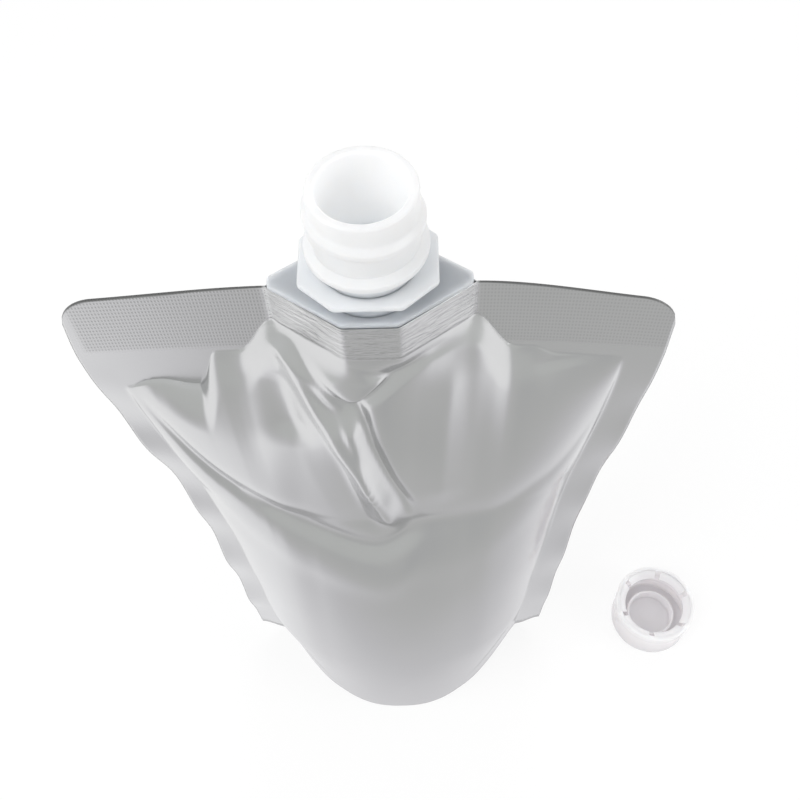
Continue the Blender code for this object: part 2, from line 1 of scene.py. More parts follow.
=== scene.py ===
"""Finished look of a foil stand-up pouch with a welded spout and its cap.

Metres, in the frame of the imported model: +Z up, -Y is the pouch's front.
"""
import logging
import math
from dataclasses import dataclass
from enum import Enum

import bmesh
import bpy
import numpy as np
from mathutils import Matrix, Vector

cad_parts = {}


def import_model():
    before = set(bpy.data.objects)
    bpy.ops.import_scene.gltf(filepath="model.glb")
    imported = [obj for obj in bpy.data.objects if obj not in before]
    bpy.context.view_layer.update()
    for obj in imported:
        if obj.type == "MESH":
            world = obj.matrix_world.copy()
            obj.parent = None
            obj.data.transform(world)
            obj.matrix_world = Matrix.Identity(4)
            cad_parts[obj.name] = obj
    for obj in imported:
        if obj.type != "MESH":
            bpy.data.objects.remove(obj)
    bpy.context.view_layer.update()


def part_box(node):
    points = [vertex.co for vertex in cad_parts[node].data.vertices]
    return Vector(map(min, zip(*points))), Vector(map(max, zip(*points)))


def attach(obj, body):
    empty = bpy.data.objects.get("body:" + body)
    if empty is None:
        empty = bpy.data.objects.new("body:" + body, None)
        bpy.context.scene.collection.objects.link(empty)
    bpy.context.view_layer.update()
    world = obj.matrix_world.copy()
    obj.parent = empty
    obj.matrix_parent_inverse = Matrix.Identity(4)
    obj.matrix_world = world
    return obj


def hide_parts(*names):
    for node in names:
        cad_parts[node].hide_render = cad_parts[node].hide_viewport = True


Array = np.ndarray
BMesh = bmesh.types.BMesh
Material = bpy.types.Material
Node = bpy.types.Node
Object = bpy.types.Object
Socket = bpy.types.NodeSocket

LOG = logging.getLogger("pouch")
BODY = "root"
WHITE = (1.0, 1.0, 1.0, 1.0)
MM = 0.001


class Panel(Enum):
    """The two large films of the bag, by the way they face along Y."""

    FRONT = -1
    BACK = 1


class Slot(Enum):
    """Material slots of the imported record."""

    FOIL = "foil_laminate"
    MILKY = "milky_plastic"
    WHITE = "white_plastic"


def smooth(value: Array) -> Array:
    """Smooth step from 0 to 1."""
    value = np.clip(value, 0.0, 1.0)
    return value * value * (3 - 2 * value)


def ease(value: Array, span: tuple) -> Array:
    """Smooth step that starts at the span's first number and is its second number long."""
    return smooth((value - span[0]) / span[1])


def mix(low: float, high: float, share: Array) -> Array:
    """Straight blend between two values."""
    return low + (high - low) * share


class Graph:
    """Adds shader nodes to one material or world and links them."""

    def __init__(self, tree: bpy.types.NodeTree) -> None:
        """Start from an empty tree."""
        self.tree = tree
        self.tree.nodes.clear()

    def add(self, kind: str, settings: dict | None = None, **inputs: object) -> Node:
        """Add a node.

        Args:
            kind: The node's type, without its ShaderNode prefix.
            settings: Values of the node's own properties.
            inputs: Values by socket name, with _ for a space, or by place as in i0. A socket
                is linked, and so is a node, by its first output.

        Returns:
            The new node.
        """
        node = self.tree.nodes.new("ShaderNode" + kind)
        for name, value in (settings or {}).items():
            setattr(node, name, value)
        for name, value in inputs.items():
            by_place = name[0] == "i" and name[1:].isdigit()
            socket = node.inputs[int(name[1:]) if by_place else name.replace("_", " ")]
            if isinstance(value, Node):
                value = value.outputs[0]
            if isinstance(value, Socket):
                self.tree.links.new(value, socket)
            else:
                socket.default_value = value
        return node

    def math(self, operation: str, *terms: object) -> Socket:
        """A Math node's result."""
        inputs = {f"i{place}": term for place, term in enumerate(terms)}
        return self.add("Math", {"operation": operation}, **inputs).outputs[0]

    def ramp(self, value: Node, stops: tuple) -> Node:
        """A colour ramp over (place, colour) stops."""
        node = self.add("ValToRGB", Fac=value)
        ramp = node.color_ramp
        ramp.elements[0].position, ramp.elements[-1].position = stops[0][0], stops[-1][0]
        for place, _ in stops[1:-1]:
            ramp.elements.new(place)
        for element, (_, color) in zip(ramp.elements, stops):
            element.color = (*color, 1.0)
        return node

    def by_ray(self, usual: Node, seen: Node, gloss: Node, clearness: float = 1.0) -> Node:
        """Mix three shaders by the kind of ray that meets them.

        Args:
            usual: Shader that lights the pieces.
            seen: Shader that the camera sees.
            gloss: Shader that glossy surfaces reflect.
            clearness: Share of the seen shader against the usual one in view.

        Returns:
            The mixed shader.
        """
        path = self.add("LightPath").outputs
        view = self.math("MAXIMUM", path["Is Camera Ray"], path["Is Transmission Ray"])
        shown = self.add("MixShader", i0=self.math("MULTIPLY", view, clearness), i1=usual, i2=seen)
        return self.add("MixShader", i0=path["Is Glossy Ray"], i1=shown, i2=gloss)


def new_finish(name: str) -> tuple[Material, Graph]:
    """Make an empty material and the graph that fills it."""
    finish = bpy.data.materials.new(name)
    finish.use_nodes = True
    return finish, Graph(finish.node_tree)


def new_object(name: str, data: bpy.types.ID) -> Object:
    """Make an object and link it to the scene."""
    item = bpy.data.objects.new(name, data)
    bpy.context.scene.collection.objects.link(item)
    return item


@dataclass(frozen=True)
class FoilFinish:
    """Clear-coated aluminium laminate, embossed by the sealing jaws."""

    name: str = "foil_laminate"
    color: tuple = (0.72, 0.722, 0.728)
    roughness: float = 0.25
    coat: float = 0.35
    coat_roughness: float = 0.09
    emboss_pitch: float = 0.00082
    emboss_depth: float = 0.00006
    emboss_stretch: float = 0.60
    emboss_shade: float = -0.26
    weld_shade: float = -0.05
    weld_roughness: float = 0.08
    # Painted shade: dark grey for the film's thin top edge.
    edge_painted_shade: tuple = (0.12, 0.12, 0.12, 1.0)

    def build(self) -> Material:
        """Make the material.

        Returns:
            The finish, which reads the emboss, crimp and edge attributes; edge paints shade on the
            top edge.
        """
        finish, graph = new_finish(self.name)
        coords = graph.add("TexCoord").outputs["Object"]
        normal = None
        emboss, crimp, edge = (graph.add("Attribute", {"attribute_name": mark}).outputs["Fac"]
                               for mark in ("emboss", "crimp", "edge"))
        parts = graph.add("SeparateXYZ", Vector=coords)
        grid = emboss
        for axis, stretch in (("X", 1.0), ("Z", self.emboss_stretch)):
            turn = graph.math("MULTIPLY", parts.outputs[axis],
                              2 * math.pi * stretch / self.emboss_pitch)
            wave = graph.math("MULTIPLY_ADD", graph.math("SINE", turn), 0.5, 0.5)
            grid = graph.math("MULTIPLY", grid, wave)
        haze = graph.add("TexNoise", Vector=coords, Scale=45.0, Detail=2.0)
        along = graph.add("Mapping", Vector=coords, Scale=(0.22, 0.22, 1.6))
        crinkle = graph.add("TexNoise", Vector=along, Scale=600.0, Detail=4.0, Distortion=1.2)
        crinkle = graph.math("MULTIPLY", crinkle, crimp)
        orange_peel = graph.add("TexNoise", Vector=coords, Scale=700.0, Detail=1.0)
        for height, strength, distance in ((orange_peel, 0.05, 0.0001), (crinkle, 0.8, 0.0005),
                                           (grid, 0.7, self.emboss_depth)):
            under = {"Normal": normal} if normal else {}
            normal = graph.add("Bump", Strength=strength, Distance=distance, Height=height,
                               **under)
        darker = tuple(0.98 * part for part in self.color)
        tone = graph.ramp(haze, ((0.30, darker), (0.70, self.color)))
        shade = graph.math("MULTIPLY", graph.math("MULTIPLY_ADD", grid, self.emboss_shade, 1.0),
                           graph.math("MULTIPLY_ADD", emboss, self.weld_shade, 1.0))
        tone = graph.add("VectorMath", {"operation": "SCALE"}, i0=tone, Scale=shade)
        # Painted shade: the film's thin top edge is mixed to a dark grey in its colour.
        color = graph.add("MixRGB", Fac=edge, Color1=tone, Color2=self.edge_painted_shade)
        rough = graph.math("MULTIPLY_ADD", emboss, self.weld_roughness, self.roughness)
        shader = graph.add("BsdfPrincipled", Base_Color=color, Metallic=1.0, Roughness=rough,
                           Coat_Weight=self.coat, Coat_Roughness=self.coat_roughness,
                           Normal=normal)
        graph.add("OutputMaterial", Surface=shader)
        return finish


@dataclass(frozen=True)
class PlasticFinish:
    """Moulded polyethylene with a painted glow for light that passes through it, and painted shade
    by height.
    """

    name: str
    bands: tuple
    low: float
    high: float
    roughness: float = 0.30
    scatter: float = 0.6
    scatter_depth: float = 0.004
    glow: float = 0.0
    bore_glow: float = 0.0
    bore_radius: float = 0.0102

    def build(self) -> Material:
        """Make the material.

        Returns:
            The finish, with its colour bands of painted shade, darker low down, set between two
            heights.
        """
        finish, graph = new_finish(self.name)
        coords = graph.add("TexCoord").outputs["Object"]
        height = graph.add("SeparateXYZ", Vector=coords).outputs["Z"]
        # Painted shade: the colour bands darken the piece towards its bottom.
        share = graph.add("MapRange", Value=height, From_Min=self.low, From_Max=self.high)
        color = graph.ramp(share, self.bands)
        flow = graph.add("TexNoise", Vector=coords, Scale=220.0, Detail=3.0)
        bump = graph.add("Bump", Strength=0.08, Distance=0.0003, Height=flow)
        rough = graph.math("MULTIPLY_ADD", flow, 0.08, self.roughness - 0.04)
        # Painted light: emission makes the plastic glow, more inside the bore, in place of light
        # that passes through its walls.
        painted_glow = graph.math("MULTIPLY_ADD", self.inside_bore(graph, coords),
                            self.bore_glow - self.glow, self.glow)
        shader = graph.add("BsdfPrincipled", Base_Color=color, Roughness=rough,
                           Subsurface_Weight=self.scatter, Subsurface_Scale=self.scatter_depth,
                           Subsurface_Radius=(1.0, 0.95, 0.9), IOR=1.51,
                           Emission_Color=color, Emission_Strength=painted_glow, Normal=bump)
        graph.add("OutputMaterial", Surface=shader)
        return finish

    def inside_bore(self, graph: Graph, coords: Socket) -> Node:
        """Share of the wall round the axis, which gets the bore's painted glow.

        Args:
            graph: The material's graph.
            coords: Object coordinates.

        Returns:
            1 within the bore's radius and 0 beyond it.
        """
        level = graph.add("VectorMath", {"operation": "MULTIPLY"}, i0=coords, i1=(1.0, 1.0, 0.0))
        radius = graph.add("VectorMath", {"operation": "LENGTH"}, i0=level).outputs["Value"]
        return graph.add("MapRange", Value=radius, From_Min=self.bore_radius + 0.0006,
                         From_Max=self.bore_radius + 0.0001)


@dataclass(frozen=True)
class Fold:
    """A fold in a film along a few (x, z) points, with its sizes in millimetres."""

    points: tuple
    height: float
    left_width: float
    right_width: float
    sharpness: float = 1.2
    fade_in: float = 0.06
    fade_out: float = 0.15
    crisp: bool = True

    def lift(self, x: Array, z: Array) -> Array:
        """How far the film stands out because of this fold.

        Args:
            x: Places across the pouch.
            z: Heights.

        Returns:
            The lift at each place.
        """
        points = np.array(self.points) * MM
        legs = np.diff(points, axis=0)
        lengths = np.hypot(legs[:, 0], legs[:, 1])
        nearest = np.full(x.shape, np.inf)
        on_left, travel = np.zeros((2, *x.shape))
        done = 0.0
        for start, leg, length in zip(points, legs, lengths):
            from_x, from_z = x - start[0], z - start[1]
            share = np.clip((from_x * leg[0] + from_z * leg[1]) / length ** 2, 0.0, 1.0)
            off = np.hypot(from_x - share * leg[0], from_z - share * leg[1])
            closer = off < nearest
            nearest = np.where(closer, off, nearest)
            on_left = np.where(closer, from_x * leg[1] > from_z * leg[0], on_left)
            travel = np.where(closer, (done + share * length) / lengths.sum(), travel)
            done += length
        height = self.height * MM
        width = np.where(on_left, self.left_width, self.right_width) * MM
        fade = smooth(travel / self.fade_in) * smooth((1 - travel) / self.fade_out)
        if self.crisp:
            return height * fade * np.maximum(1 - nearest / width, 0.0) ** self.sharpness
        return height * fade * np.exp(-(nearest / width) ** self.sharpness)


@dataclass(frozen=True)
class Facet:
    """The flat triangle of film under the weld, which overhangs the pinch beside it."""

    tip: tuple = (-0.0240, 0.2230)
    low: tuple = (-0.0052, 0.2100)
    corner: tuple = (0.0028, 0.2176)
    high: tuple = (-0.0070, 0.2234)
    left_low: tuple = (-0.0115, 0.2105)
    height: float = 0.0034
    top: float = 0.2245
    rise: float = 0.0120
    edge_width: float = 0.0014
    foot_width: float = 0.0015
    ridge_width: float = 0.0040

    @staticmethod
    def side(start: tuple, end: tuple, x: Array, z: Array) -> Array:
        """Distance to the left of a line, seen along it from its start."""
        run_x, run_z = end[0] - start[0], end[1] - start[1]
        return ((z - start[1]) * run_x - (x - start[0]) * run_z) / math.hypot(run_x, run_z)

    def lift(self, x: Array, z: Array) -> Array:
        """How far the facet stands out at each place."""
        edge = np.minimum(self.side(self.low, self.corner, x, z),
                          self.side(self.corner, self.high, x, z))
        foot = self.side(self.left_low, self.low, x, z)
        ridge = self.side(self.tip, self.left_low, x, z)
        over_edge = np.clip(edge / self.edge_width + 0.5, 0.0, 1.0)
        over_foot = np.clip(foot / self.foot_width + 0.5, 0.0, 1.0)
        over_ridge = np.clip(ridge / self.ridge_width, 0.0, 1.0)
        down = np.clip((self.top - z) / self.rise, 0.0, 1.0)
        across = np.clip((x - self.tip[0]) / (self.low[0] - self.tip[0]), 0.0, 1.15)
        return self.height * (0.45 + 0.55 * across) * down * over_edge * over_ridge * over_foot


@dataclass(frozen=True)
class BagForm:
    """Shape of the filled bag, as functions of a column share and a height.

    Pairs of sizes are for the left and the right side, and a span is a start and a length.
    The three crease tuples give its depth, its width and the roll of film under it.
    """

    film: float = 0.00025
    top_width: float = 0.1552
    base_width: float = 0.119
    film_top: float = 0.238
    wing_drop: tuple = (0.0026, 0.0044)
    drawn_in: tuple = (0.0012, 0.0038)
    wing_corner: float = 0.009
    top_seal: float = 0.0255
    side_seal: float = 0.0075
    lower_seal: float = 0.0095
    bottom_seal: float = 0.006
    gusset_depth: float = 0.040
    corner_notch: float = 0.008
    base_depth: float = 0.070
    belly_depth: float = 0.0740
    shoulder_depth: float = 0.0575
    crease_depth: float = 0.0410
    belly_height: float = 0.050
    shoulder_height: float = 0.124
    crease_height: float = 0.150
    pillow_puff: float = 0.0035
    crease_sharp: tuple = (0.0024, 0.0044, 0.0014)
    crease_soft: tuple = (0.0009, 0.0060, 0.0006)
    crease_back: tuple = (0.0014, 0.0075, 0.0014)
    sharp_to_soft: tuple = (0.004, 0.010)
    pocket: tuple = (0.0150, 0.003)
    pocket_span: tuple = (0.59, 0.12)
    pocket_rise: tuple = (0.0030, 0.0)
    rise_span: tuple = (0.71, 0.14)
    corner_dip: tuple = (0.0030, -0.0010)
    corner_span: tuple = (0.88, 0.12)
    boat_reach: float = 0.16
    right_seal_growth: float = 0.0022
    growth_span: tuple = (0.100, 0.050)
    edge_round: float = 0.013
    wing_bend: tuple = (0.0012, 0.0042)
    wave: tuple = (0.0010, 0.0006)
    wave_length: float = 0.044
    mouth_depth: float = 0.0130
    mouth_flat: float = 0.0067
    mouth_shoulder: float = 0.0239
    mouth_tip: float = 0.0010
    weld_bottom: float = 0.2258
    rib_pitch: float = 0.0019
    rib_relief: float = 0.00005

    @property
    def band_bottom(self) -> float:
        """Lower edge of the weld across the wings."""
        return self.film_top - self.top_seal

    @property
    def mouth_half(self) -> float:
        """Half the length of the mouth, out to where the films meet."""
        return self.mouth_shoulder + self.mouth_tip

    def edge_half(self, z: Array) -> Array:
        """Half the width across the side welds at a height."""
        rise = (self.top_width - self.base_width) / 2
        share = z / self.band_bottom
        curve = 0.53 * np.minimum(share, 1.0) + 0.47 * smooth((share - 0.53) / 0.47)
        return self.base_width / 2 + rise * curve

    def seal_width(self, z: Array) -> Array:
        """Width of the side weld at a height."""
        share = smooth((z - 2 * self.gusset_depth) / (2 * self.gusset_depth))
        return mix(self.lower_seal, self.side_seal, share)

    def cavity_half(self, z: Array) -> Array:
        """Half the width of the filled space at a height."""
        return self.edge_half(z) - self.seal_width(z)

    def edge_pull(self, s: Array, z: Array) -> Array:
        """How far a wing's cut edge is drawn in, because the filled film tilts it."""
        reach = self.band_bottom - self.shoulder_height
        left = self.drawn_in[0] * smooth((z - self.band_bottom) / self.top_seal)
        right = self.drawn_in[1] * smooth((z - self.shoulder_height) / reach)
        return np.where(s < 0, left, right)

    def column_x(self, s: Array, z: Array) -> Array:
        """X of a column: |s| to 1 across the filled space, 1 to 2 across the side weld."""
        inside = np.minimum(np.abs(s), 1.0) * self.cavity_half(z)
        outward = inside + np.maximum(np.abs(s) - 1.0, 0.0) * self.seal_width(z)
        span = self.edge_half(z) - self.mouth_half
        off_mouth = smooth((outward - self.mouth_half) / span)
        growth = self.right_seal_growth * ease(z, self.growth_span) * (s > 0)
        growth = growth * smooth((np.abs(s) - 0.5) / 0.5) * np.minimum(2 - np.abs(s), 1.0)
        return np.copysign(outward - growth - self.edge_pull(s, z) * off_mouth, s)

    def weld_line(self, s: Array) -> Array:
        """Height of the arched bottom weld."""
        return mix(self.bottom_seal, self.gusset_depth, np.minimum(np.abs(s), 1.0) ** 2.5)

    def band_line(self, s: Array) -> Array:
        """Lower edge of the top weld: up round the boat, down in the corners."""
        tip = self.mouth_half / self.cavity_half(self.film_top)
        near_boat = smooth((tip + self.boat_reach - np.abs(s)) / self.boat_reach)
        height = mix(self.band_bottom, self.weld_bottom, near_boat)
        reach = np.abs(s)
        height = height - np.where(s < 0, *self.pocket) * ease(reach, self.pocket_span)
        height = height + np.where(s < 0, *self.pocket_rise) * ease(reach, self.rise_span)
        return height - np.where(s < 0, *self.corner_dip) * ease(reach, self.corner_span)

    def top_line(self, s: Array) -> Array:
        """Cut top edge of the film, with round corners."""
        top = np.full(s.shape, self.film_top)
        x = np.abs(self.column_x(s, top))
        edge = self.edge_half(top) - self.edge_pull(s, top)
        reach = (x - self.mouth_half) / (edge - self.mouth_half)
        height = self.film_top - np.where(s < 0, *self.wing_drop) * smooth(reach)
        into = np.maximum(x - (edge - self.wing_corner), 0.0)
        inner = np.sqrt(np.maximum(self.wing_corner ** 2 - into ** 2, 0.0))
        return height - np.where(into > 0, self.wing_corner - inner, 0.0)

    def middle_y(self, s: Array, z: Array) -> Array:
        """Middle plane of the films: bent wings and rippled side welds."""
        x = np.abs(self.column_x(s, z))
        reach = np.maximum(x - self.mouth_half, 0.0) / (self.top_width / 2 - self.mouth_half)
        half = 0.5 * self.band_bottom
        wing = -np.where(s < 0, *self.wing_bend) * reach ** 1.6 * smooth((z - half) / half)
        fade = smooth(z / self.gusset_depth)
        fade = fade * smooth((self.band_bottom - z) / self.gusset_depth)
        ripple = np.where(s < 0, *self.wave) * np.sin(2 * np.pi * z / self.wave_length)
        return wing + ripple * fade * np.maximum(np.abs(s) - 1.0, 0.0)

    def mouth_gap(self, x: Array) -> Array:
        """Half the opening between the films round the boat."""
        places = (0.0, self.mouth_flat, self.mouth_shoulder, self.mouth_half)
        gaps = (self.mouth_depth, self.mouth_depth, self.mouth_tip, 0.0)
        return np.interp(np.abs(x), places, gaps)

    def centre_depth(self, z: Array) -> Array:
        """Half the depth of the body on its centre line, below the crease."""
        stations = ((0.0, self.base_depth, 0.06), (self.belly_height, self.belly_depth, 0.0),
                    (self.shoulder_height, self.shoulder_depth, -0.26),
                    (self.crease_height, self.crease_depth, -0.30))
        half = np.full(z.shape, self.crease_depth / 2)
        for (low, depth, slope), (high, next_depth, next_slope) in zip(stations, stations[1:]):
            step = high - low
            t = np.clip((z - low) / step, 0.0, 1.0)
            bend = 2 * t ** 3 - 3 * t ** 2
            curve = ((bend + 1) * depth / 2 + (t ** 3 - 2 * t ** 2 + t) * step * slope
                     - bend * next_depth / 2 + (t ** 3 - t ** 2) * step * next_slope)
            half = np.where((z >= low) & (z <= high), curve, half)
        return half

    def belly_gap(self, s: Array, z: Array) -> Array:
        """Half gap of the body below the crease: pinched at the floor, rounder above."""
        share = smooth(z / (1.5 * self.gusset_depth))
        power, fullness = mix(2.4, 2.0, share), mix(1.2, 0.62, share)
        round_off = np.maximum(1 - np.minimum(np.abs(s), 1.0) ** power, 0.0)
        return self.centre_depth(z) * round_off ** fullness

    def smile_height(self, side: Panel, x: Array) -> Array:
        """Height of the curved crease between the belly and the upper panel."""
        points = SMILE_FRONT if side is Panel.FRONT else SMILE_BACK
        places, heights = np.transpose(points) * MM
        return sum(np.interp(x + shift, places, heights) for shift in (0.0, -0.003, 0.003)) / 3

    def ripples(self, x: Array, z: Array, side: Panel) -> Array:
        """Slight slackness of the film: a few long waves with fixed phases."""
        draw = np.random.default_rng(11 if side is Panel.FRONT else 12)
        total = np.zeros(x.shape)
        for _ in range(9):
            length = draw.uniform(0.026, 0.060)
            turn, phase = draw.uniform(-0.9, 0.9), draw.uniform(0, 2 * math.pi)
            wave = (x * math.cos(turn) + z * math.sin(turn)) * 2 * math.pi / length + phase
            total += np.sin(wave) * length * 0.0005
        return total

    def half_gap(self, side: Panel, s: Array, z: Array) -> Array:
        """Half gap of the filled space on one side.

        Args:
            side: Front or back film.
            s: Column shares.
            z: Heights.

        Returns:
            Distance from the middle plane to the inside of the film.
        """
        top = self.band_line(s)
        x = self.column_x(s, z)
        inside = np.abs(s) < 1
        at_mouth = np.abs(x) < self.mouth_half
        tip = self.mouth_half / self.cavity_half(self.film_top)
        near_boat = smooth((tip + 0.20 - np.abs(s)) / 0.20)
        even_top = mix(self.band_bottom, self.weld_bottom, near_boat)
        share = np.clip((z - self.crease_height) / (even_top - self.crease_height), 0.0, 1.0)
        below = np.maximum(top - z, 0.0)
        top_x = self.column_x(s, np.full(s.shape, self.film_top))
        shifts = (-0.010, -0.0075, -0.005, -0.0025, 0.0, 0.0025, 0.005, 0.0075, 0.010)
        rounder = sum(self.mouth_gap(top_x + shift) for shift in shifts) / len(shifts)
        top_gap = mix(self.mouth_gap(top_x), rounder, smooth(below / 0.008))
        gap = self.belly_gap(s, z) * (1 - share) + top_gap * share
        root = np.sqrt(np.maximum(1 - s * s, 0.0))
        gap += self.pillow_puff * 4 * share * (1 - share) * root
        outside = smooth((np.abs(x) - self.mouth_half + 0.002) / 0.010)
        closing = np.sqrt(1 - (1 - np.minimum(below / self.edge_round, 1.0)) ** 2)
        gap = mix(gap, (gap + 0.0008 * root) * closing, outside)
        body = smooth(below / 0.010) * (1 - np.abs(s) ** 6)
        valley = self.smile_height(side, x)
        depth, width, roll_over = self.crease_back
        if side is Panel.FRONT:
            soft = ease(x, self.sharp_to_soft)
            depth, width, roll_over = (mix(sharp, blunt, soft) for sharp, blunt
                                       in zip(self.crease_sharp, self.crease_soft))
        below_line = np.where(z < valley, 0.75, 1.25) * width
        gap -= depth * body * np.exp(-np.abs((z - valley) / below_line) ** 1.6)
        gap += roll_over * body * np.exp(-((z - valley + 0.014) / 0.0085) ** 2)
        for fold in FOLDS[side]:
            gap += np.minimum(body + 0.15 * (below > 0), 1.0) * fold.lift(x, z)
        if side is Panel.FRONT:
            gap += body * Facet().lift(x, z)
        gap += body * self.ripples(x, z, side)
        gap = np.where(z >= top, np.where(at_mouth, self.mouth_gap(x), 0.0), gap)
        rib = np.cos(2 * np.pi * (z - self.weld_bottom) / self.rib_pitch)
        gap += np.where(at_mouth & (z > top), self.rib_relief * (1 - rib) / 2, 0.0)
        return np.where(inside, np.maximum(gap, 0.0), 0.0)


# Sizes in millimetres: (x, z) points of the curved crease, and the folds of each film
SMILE_FRONT = ((-70, 204), (-60, 181), (-52, 166), (-41.4, 155.6), (-31, 149),
               (-19.3, 143), (-8, 138.2), (0, 137.5), (6.5, 144), (13.2, 147.5),
               (22, 146.5), (34.8, 150), (51.8, 164), (58.8, 180), (66, 201),
               (70, 212))
SMILE_BACK = ((-70, 206), (-45, 164), (-20, 146), (0, 143), (22, 147),
              (46, 166), (70, 207))
FOLDS = {
    Panel.FRONT: (
        Fold(((-7.8, 208.5), (-6.6, 197.5), (-4.4, 186), (-2, 174), (0.8, 161),
             (4.2, 146)), 4.8, 8.0, 4.4, 1.15, 0.16, 0.22),
        Fold(((-24, 222.5), (-20.3, 213.7), (-15.8, 203.8), (-11.1, 193.8), (-6.1, 184.5),
             (-2, 171.5), (1, 159)), 2.7, 4.0, 3.4, 1.0, 0.03, 0.3),
        Fold(((-23.6, 222.2), (-18.5, 216), (-11.5, 209), (-7.5, 205)), 1.4, 2.8, 2.2, 1.0,
             0.06, 0.25),
        Fold(((23.6, 223.2), (12.6, 222.2), (6.5, 219.5), (0.5, 214.5), (-5, 209.8),
             (-2.8, 193.9), (1.6, 176.6), (6.2, 162), (8.5, 150)), -2.6, 8.5, 3.4, 1.1, 0.1,
             0.2),
        Fold(((-12.5, 193), (-9, 177.1), (-4.5, 156.9), (-1.5, 138.5)), -1.2, 11.0, 4.0, 1.2,
             0.25, 0.35),
        Fold(((20, 218), (18, 195.5), (16, 157.5)), 1.2, 8.0, 10.0, 1.3, 0.15, 0.2),
        Fold(((40, 206.5), (54, 209), (65, 209.5)), -1.4, 2.5, 3.0, 1.0, 0.25, 0.1),
        Fold(((-48, 197.5), (-54, 201), (-60, 201.5), (-67, 199.5)), 1.8, 3.0, 3.0,
             1.0, 0.15, 0.1),
        Fold(((-26.2, 215), (-25.2, 203), (-21.8, 186)), -2.8, 7.5, 4.2, 2.0, 0.3, 0.3,
             False),
    ),
    Panel.BACK: (
        Fold(((21.5, 224.5), (12, 200), (4, 150)), 3.0, 7.0, 12.0, 1.2, 0.05, 0.15),
        Fold(((-21.5, 224.5), (-15, 205), (-9, 160)), 2.0, 11.0, 6.5, 1.2, 0.05, 0.2),
        Fold(((1, 222.5), (4, 208), (2, 175)), -2.2, 6.0, 6.0, 1.2, 0.05, 0.3),
    ),
}


def new_piece(name: str, mesh: BMesh, finish: Material,
              sharp: float) -> Object:
    """Turn a bmesh into a shaded piece that rides on the pouch's body.

    Args:
        name: The piece's name.
        mesh: Its geometry, which is freed.
        finish: Its material.
        sharp: Edges sharper than this many degrees stay sharp.

    Returns:
        The new object.
    """
    data = bpy.data.meshes.new(name)
    mesh.to_mesh(data)
    mesh.free()
    data.materials.append(finish)
    data.shade_smooth()
    data.set_sharp_from_angle(angle=math.radians(sharp))
    piece = new_object(name, data)
    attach(piece, BODY)
    LOG.info("%s: %d vertices", name, len(data.vertices))
    return piece


